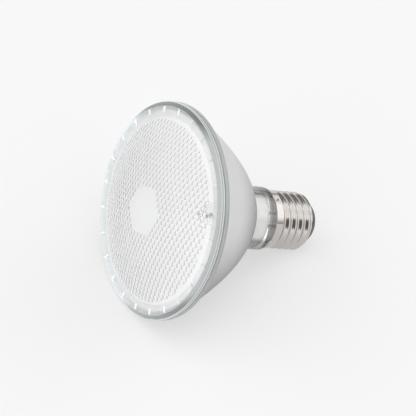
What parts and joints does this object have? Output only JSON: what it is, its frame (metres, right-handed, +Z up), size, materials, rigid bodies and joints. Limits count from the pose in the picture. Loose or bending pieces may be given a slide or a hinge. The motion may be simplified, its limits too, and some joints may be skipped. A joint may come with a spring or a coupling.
{
  "type": "par spotlight bulb",
  "caption": "Halogen par spotlight bulb: domed lenslet glass lens on a mirrored glass bowl with a clear neck, burner inside and a screw cap, lying on its rim and cap.",
  "frame": {"origin": "middle of the bounding box on the floor, under the lamp lying on its rim and the end of its cap", "axes": "+Z up; the lamp's axis lies in the XZ plane, lens towards -X and facing up, cap towards +X and lower"},
  "size_m": [0.096, 0.096, 0.0873],
  "materials": {
    "lens_glass": "clear pressed glass, stippled",
    "seal": "matt adhesive",
    "coated_glass": "mirror coated inside the bowl, satin grey outside, clear at the neck",
    "quartz": "clear quartz",
    "tungsten": "drawn tungsten",
    "lead_wire": "drawn wire",
    "foil": "thin foil",
    "pin_wire": "drawn wire",
    "holder_ceramic": "white, matt",
    "sleeve_metal": "crimped",
    "cap_wire": "drawn wire",
    "cap_nickel": "nickel plated, rolled",
    "solder": "dull solder",
    "cement": "matt cement",
    "black_glass": "black, glossy",
    "contact_metal": "nickel plated"
  },
  "bodies": {
    "root": {"front_lens": "lens_glass", "lens_seal": "seal", "reflector_bowl": "coated_glass", "capsule_envelope": "quartz", "filament": "tungsten", "inner_lead_live": "lead_wire", "inner_lead_neutral": "lead_wire", "seal_foil_live": "foil", "seal_foil_neutral": "foil", "capsule_pin_live": "pin_wire", "capsule_pin_neutral": "pin_wire", "capsule_holder": "holder_ceramic", "crimp_sleeve_live": "sleeve_metal", "crimp_sleeve_neutral": "sleeve_metal", "live_lead": "cap_wire", "neutral_lead": "cap_wire", "screw_shell": "cap_nickel", "shell_weld": "solder", "cap_cement": "cement", "cap_insulator": "black_glass", "centre_contact": "contact_metal", "contact_solder": "solder"}
  },
  "joints": []
}
